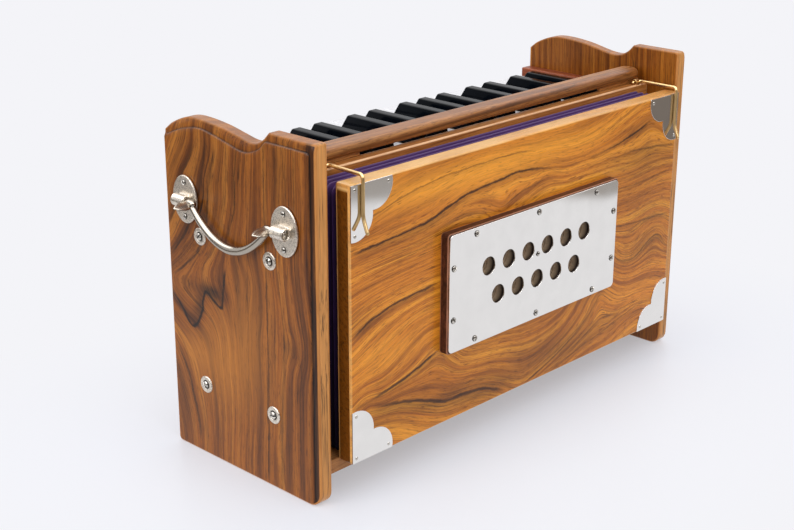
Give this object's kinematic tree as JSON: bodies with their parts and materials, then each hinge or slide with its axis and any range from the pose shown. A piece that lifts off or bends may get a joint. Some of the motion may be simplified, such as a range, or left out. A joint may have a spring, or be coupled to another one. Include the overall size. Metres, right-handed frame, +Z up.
{
  "type": "indian harmonium",
  "caption": "Small hand-pumped reed organ: scrolled cheeks, short keyboard, hinged rear pump board with a pierced air plate, wire catches and drop handles",
  "frame": {"origin": "under the middle of the whole instrument, on the surface that it stands on", "axes": "+X towards the treble end, +Y towards the bellows side, +Z up; the player sits at -Y"},
  "size_m": [0.5176, 0.2116, 0.291],
  "materials": {
    "cheek_wood": "satin varnish over reddish-brown figured wood, grain upright",
    "board_wood": "gloss varnish over golden-orange figured wood",
    "case_wood": "plain satin wood",
    "rail_wood": "satin brown wood",
    "block_wood": "satin reddish-brown wood",
    "white_key": "gloss white key",
    "black_key": "gloss black key",
    "nickel": "satin nickel plate",
    "polished_metal": "polished sheet",
    "brass_wire": "polished brass",
    "spring_steel": "drawn wire",
    "flap_leather": "soft suede leather",
    "bellows_fabric": "matte purple cloth",
    "dark_knob": "dark lacquered knob"
  },
  "bodies": {
    "case": {"cheek_treble": "cheek_wood", "cheek_bass": "cheek_wood", "base_board": "case_wood", "front_panel": "case_wood", "key_frame": "block_wood", "key_rail": "rail_wood", "back_frame": "board_wood", "reed_board": "case_wood", "reed_plate": "brass_wire", "key_springs": "brass_wire", "chamber_floor": "case_wood", "reservoir_cloth": "bellows_fabric", "reservoir_spring": "spring_steel", "bellows_cloth": "bellows_fabric", "rose_treble_front": "nickel", "rose_treble_back": "nickel", "rose_bass_front": "nickel", "rose_bass_back": "nickel"},
    "white_key_01": {"white_key_01": "white_key"},
    "black_key_01": {"black_key_01": "black_key"},
    "white_key_02": {"white_key_02": "white_key"},
    "black_key_02": {"black_key_02": "black_key"},
    "white_key_03": {"white_key_03": "white_key"},
    "white_key_04": {"white_key_04": "white_key"},
    "black_key_03": {"black_key_03": "black_key"},
    "white_key_05": {"white_key_05": "white_key"},
    "black_key_04": {"black_key_04": "black_key"},
    "white_key_06": {"white_key_06": "white_key"},
    "white_key_07": {"white_key_07": "white_key"},
    "black_key_05": {"black_key_05": "black_key"},
    "white_key_08": {"white_key_08": "white_key"},
    "black_key_06": {"black_key_06": "black_key"},
    "white_key_09": {"white_key_09": "white_key"},
    "black_key_07": {"black_key_07": "black_key"},
    "white_key_10": {"white_key_10": "white_key"},
    "white_key_11": {"white_key_11": "white_key"},
    "black_key_08": {"black_key_08": "black_key"},
    "white_key_12": {"white_key_12": "white_key"},
    "black_key_09": {"black_key_09": "black_key"},
    "white_key_13": {"white_key_13": "white_key"},
    "white_key_14": {"white_key_14": "white_key"},
    "black_key_10": {"black_key_10": "black_key"},
    "white_key_15": {"white_key_15": "white_key"},
    "black_key_11": {"black_key_11": "black_key"},
    "white_key_16": {"white_key_16": "white_key"},
    "black_key_12": {"black_key_12": "black_key"},
    "white_key_17": {"white_key_17": "white_key"},
    "white_key_18": {"white_key_18": "white_key"},
    "black_key_13": {"black_key_13": "black_key"},
    "white_key_19": {"white_key_19": "white_key"},
    "pump_board": {"pump_board": "board_wood", "air_plate": "polished_metal"},
    "inlet_flap": {"inlet_flap": "flap_leather"},
    "catch_treble": {"catch_treble": "brass_wire"},
    "catch_bass": {"catch_bass": "brass_wire"},
    "handle_treble": {"handle_treble": "nickel"},
    "handle_bass": {"handle_bass": "nickel"},
    "stop_treble": {"stop_treble": "dark_knob"},
    "stop_bass": {"stop_bass": "dark_knob"},
    "reservoir_board": {"reservoir_board": "case_wood"}
  },
  "joints": [
    {"name": "pump_board_hinge", "type": "hinge", "parent": "case", "child": "pump_board", "pos_m": [0, 0.0797, 0.0327], "axis": [-1, 0, 0], "range_deg": [0, 24], "deforming": ["bellows_cloth", "catch_treble", "catch_bass"]},
    {"name": "inlet_flap_hinge", "type": "hinge", "parent": "pump_board", "child": "inlet_flap", "pos_m": [0, 0.0794, 0.1751], "axis": [-1, 0, 0], "range_deg": [0, 12]},
    {"name": "catch_treble_lift", "type": "hinge", "parent": "case", "child": "catch_treble", "pos_m": [0.195, 0.04945, 0.2608], "axis": [1, 0, 0], "range_deg": [0, 87]},
    {"name": "catch_bass_lift", "type": "hinge", "parent": "case", "child": "catch_bass", "pos_m": [-0.207, 0.04945, 0.2608], "axis": [1, 0, 0], "range_deg": [0, 87]},
    {"name": "handle_treble_swing", "type": "hinge", "parent": "case", "child": "handle_treble", "pos_m": [0.2423, -0.00545, 0.22], "axis": [0, -1, 0], "range_deg": [0, 100]},
    {"name": "handle_bass_swing", "type": "hinge", "parent": "case", "child": "handle_bass", "pos_m": [-0.2423, -0.00545, 0.22], "axis": [0, 1, 0], "range_deg": [0, 100]},
    {"name": "stop_treble_pull", "type": "slide", "parent": "case", "child": "stop_treble", "axis": [0, -1, 0], "range_m": [0, 0.02]},
    {"name": "stop_bass_pull", "type": "slide", "parent": "case", "child": "stop_bass", "axis": [0, -1, 0], "range_m": [0, 0.02]},
    {"name": "reservoir_hinge", "type": "hinge", "parent": "case", "child": "reservoir_board", "pos_m": [0, 0.02635, 0.142], "axis": [1, 0, 0], "range_deg": [0, 25], "stiffness_Nm_per_rad": 3, "springref_deg": -22.92, "deforming": ["reservoir_cloth", "reservoir_spring"]},
    {"name": "white_key_01_press", "type": "hinge", "parent": "case", "child": "white_key_01", "pos_m": [0, -0.00155, 0.2345], "axis": [1, 0, 0], "range_deg": [0, 5.2], "stiffness_Nm_per_rad": 0.15, "springref_deg": -20.05, "deforming": ["key_springs"]},
    {"name": "black_key_01_press", "type": "hinge", "parent": "case", "child": "black_key_01", "pos_m": [0, -0.00155, 0.2345], "axis": [1, 0, 0], "range_deg": [0, 5.2], "stiffness_Nm_per_rad": 0.15, "springref_deg": -20.05, "deforming": ["key_springs"]},
    {"name": "white_key_02_press", "type": "hinge", "parent": "case", "child": "white_key_02", "pos_m": [0, -0.00155, 0.2345], "axis": [1, 0, 0], "range_deg": [0, 5.2], "stiffness_Nm_per_rad": 0.15, "springref_deg": -20.05, "deforming": ["key_springs"]},
    {"name": "black_key_02_press", "type": "hinge", "parent": "case", "child": "black_key_02", "pos_m": [0, -0.00155, 0.2345], "axis": [1, 0, 0], "range_deg": [0, 5.2], "stiffness_Nm_per_rad": 0.15, "springref_deg": -20.05, "deforming": ["key_springs"]},
    {"name": "white_key_03_press", "type": "hinge", "parent": "case", "child": "white_key_03", "pos_m": [0, -0.00155, 0.2345], "axis": [1, 0, 0], "range_deg": [0, 5.2], "stiffness_Nm_per_rad": 0.15, "springref_deg": -20.05, "deforming": ["key_springs"]},
    {"name": "white_key_04_press", "type": "hinge", "parent": "case", "child": "white_key_04", "pos_m": [0, -0.00155, 0.2345], "axis": [1, 0, 0], "range_deg": [0, 5.2], "stiffness_Nm_per_rad": 0.15, "springref_deg": -20.05, "deforming": ["key_springs"]},
    {"name": "black_key_03_press", "type": "hinge", "parent": "case", "child": "black_key_03", "pos_m": [0, -0.00155, 0.2345], "axis": [1, 0, 0], "range_deg": [0, 5.2], "stiffness_Nm_per_rad": 0.15, "springref_deg": -20.05, "deforming": ["key_springs"]},
    {"name": "white_key_05_press", "type": "hinge", "parent": "case", "child": "white_key_05", "pos_m": [0, -0.00155, 0.2345], "axis": [1, 0, 0], "range_deg": [0, 5.2], "stiffness_Nm_per_rad": 0.15, "springref_deg": -20.05, "deforming": ["key_springs"]},
    {"name": "black_key_04_press", "type": "hinge", "parent": "case", "child": "black_key_04", "pos_m": [0, -0.00155, 0.2345], "axis": [1, 0, 0], "range_deg": [0, 5.2], "stiffness_Nm_per_rad": 0.15, "springref_deg": -20.05, "deforming": ["key_springs"]},
    {"name": "white_key_06_press", "type": "hinge", "parent": "case", "child": "white_key_06", "pos_m": [0, -0.00155, 0.2345], "axis": [1, 0, 0], "range_deg": [0, 5.2], "stiffness_Nm_per_rad": 0.15, "springref_deg": -20.05, "deforming": ["key_springs"]},
    {"name": "white_key_07_press", "type": "hinge", "parent": "case", "child": "white_key_07", "pos_m": [0, -0.00155, 0.2345], "axis": [1, 0, 0], "range_deg": [0, 5.2], "stiffness_Nm_per_rad": 0.15, "springref_deg": -20.05, "deforming": ["key_springs"]},
    {"name": "black_key_05_press", "type": "hinge", "parent": "case", "child": "black_key_05", "pos_m": [0, -0.00155, 0.2345], "axis": [1, 0, 0], "range_deg": [0, 5.2], "stiffness_Nm_per_rad": 0.15, "springref_deg": -20.05, "deforming": ["key_springs"]},
    {"name": "white_key_08_press", "type": "hinge", "parent": "case", "child": "white_key_08", "pos_m": [0, -0.00155, 0.2345], "axis": [1, 0, 0], "range_deg": [0, 5.2], "stiffness_Nm_per_rad": 0.15, "springref_deg": -20.05, "deforming": ["key_springs"]},
    {"name": "black_key_06_press", "type": "hinge", "parent": "case", "child": "black_key_06", "pos_m": [0, -0.00155, 0.2345], "axis": [1, 0, 0], "range_deg": [0, 5.2], "stiffness_Nm_per_rad": 0.15, "springref_deg": -20.05, "deforming": ["key_springs"]},
    {"name": "white_key_09_press", "type": "hinge", "parent": "case", "child": "white_key_09", "pos_m": [0, -0.00155, 0.2345], "axis": [1, 0, 0], "range_deg": [0, 5.2], "stiffness_Nm_per_rad": 0.15, "springref_deg": -20.05, "deforming": ["key_springs"]},
    {"name": "black_key_07_press", "type": "hinge", "parent": "case", "child": "black_key_07", "pos_m": [0, -0.00155, 0.2345], "axis": [1, 0, 0], "range_deg": [0, 5.2], "stiffness_Nm_per_rad": 0.15, "springref_deg": -20.05, "deforming": ["key_springs"]},
    {"name": "white_key_10_press", "type": "hinge", "parent": "case", "child": "white_key_10", "pos_m": [0, -0.00155, 0.2345], "axis": [1, 0, 0], "range_deg": [0, 5.2], "stiffness_Nm_per_rad": 0.15, "springref_deg": -20.05, "deforming": ["key_springs"]},
    {"name": "white_key_11_press", "type": "hinge", "parent": "case", "child": "white_key_11", "pos_m": [0, -0.00155, 0.2345], "axis": [1, 0, 0], "range_deg": [0, 5.2], "stiffness_Nm_per_rad": 0.15, "springref_deg": -20.05, "deforming": ["key_springs"]},
    {"name": "black_key_08_press", "type": "hinge", "parent": "case", "child": "black_key_08", "pos_m": [0, -0.00155, 0.2345], "axis": [1, 0, 0], "range_deg": [0, 5.2], "stiffness_Nm_per_rad": 0.15, "springref_deg": -20.05, "deforming": ["key_springs"]},
    {"name": "white_key_12_press", "type": "hinge", "parent": "case", "child": "white_key_12", "pos_m": [0, -0.00155, 0.2345], "axis": [1, 0, 0], "range_deg": [0, 5.2], "stiffness_Nm_per_rad": 0.15, "springref_deg": -20.05, "deforming": ["key_springs"]},
    {"name": "black_key_09_press", "type": "hinge", "parent": "case", "child": "black_key_09", "pos_m": [0, -0.00155, 0.2345], "axis": [1, 0, 0], "range_deg": [0, 5.2], "stiffness_Nm_per_rad": 0.15, "springref_deg": -20.05, "deforming": ["key_springs"]},
    {"name": "white_key_13_press", "type": "hinge", "parent": "case", "child": "white_key_13", "pos_m": [0, -0.00155, 0.2345], "axis": [1, 0, 0], "range_deg": [0, 5.2], "stiffness_Nm_per_rad": 0.15, "springref_deg": -20.05, "deforming": ["key_springs"]},
    {"name": "white_key_14_press", "type": "hinge", "parent": "case", "child": "white_key_14", "pos_m": [0, -0.00155, 0.2345], "axis": [1, 0, 0], "range_deg": [0, 5.2], "stiffness_Nm_per_rad": 0.15, "springref_deg": -20.05, "deforming": ["key_springs"]},
    {"name": "black_key_10_press", "type": "hinge", "parent": "case", "child": "black_key_10", "pos_m": [0, -0.00155, 0.2345], "axis": [1, 0, 0], "range_deg": [0, 5.2], "stiffness_Nm_per_rad": 0.15, "springref_deg": -20.05, "deforming": ["key_springs"]},
    {"name": "white_key_15_press", "type": "hinge", "parent": "case", "child": "white_key_15", "pos_m": [0, -0.00155, 0.2345], "axis": [1, 0, 0], "range_deg": [0, 5.2], "stiffness_Nm_per_rad": 0.15, "springref_deg": -20.05, "deforming": ["key_springs"]},
    {"name": "black_key_11_press", "type": "hinge", "parent": "case", "child": "black_key_11", "pos_m": [0, -0.00155, 0.2345], "axis": [1, 0, 0], "range_deg": [0, 5.2], "stiffness_Nm_per_rad": 0.15, "springref_deg": -20.05, "deforming": ["key_springs"]},
    {"name": "white_key_16_press", "type": "hinge", "parent": "case", "child": "white_key_16", "pos_m": [0, -0.00155, 0.2345], "axis": [1, 0, 0], "range_deg": [0, 5.2], "stiffness_Nm_per_rad": 0.15, "springref_deg": -20.05, "deforming": ["key_springs"]},
    {"name": "black_key_12_press", "type": "hinge", "parent": "case", "child": "black_key_12", "pos_m": [0, -0.00155, 0.2345], "axis": [1, 0, 0], "range_deg": [0, 5.2], "stiffness_Nm_per_rad": 0.15, "springref_deg": -20.05, "deforming": ["key_springs"]},
    {"name": "white_key_17_press", "type": "hinge", "parent": "case", "child": "white_key_17", "pos_m": [0, -0.00155, 0.2345], "axis": [1, 0, 0], "range_deg": [0, 5.2], "stiffness_Nm_per_rad": 0.15, "springref_deg": -20.05, "deforming": ["key_springs"]},
    {"name": "white_key_18_press", "type": "hinge", "parent": "case", "child": "white_key_18", "pos_m": [0, -0.00155, 0.2345], "axis": [1, 0, 0], "range_deg": [0, 5.2], "stiffness_Nm_per_rad": 0.15, "springref_deg": -20.05, "deforming": ["key_springs"]},
    {"name": "black_key_13_press", "type": "hinge", "parent": "case", "child": "black_key_13", "pos_m": [0, -0.00155, 0.2345], "axis": [1, 0, 0], "range_deg": [0, 5.2], "stiffness_Nm_per_rad": 0.15, "springref_deg": -20.05, "deforming": ["key_springs"]},
    {"name": "white_key_19_press", "type": "hinge", "parent": "case", "child": "white_key_19", "pos_m": [0, -0.00155, 0.2345], "axis": [1, 0, 0], "range_deg": [0, 5.2], "stiffness_Nm_per_rad": 0.15, "springref_deg": -20.05, "deforming": ["key_springs"]}
  ],
  "couplings": [
    {"joint": "catch_treble_lift", "follows": "pump_board_hinge", "ratio": 3.6},
    {"joint": "catch_bass_lift", "follows": "pump_board_hinge", "ratio": 3.6}
  ]
}
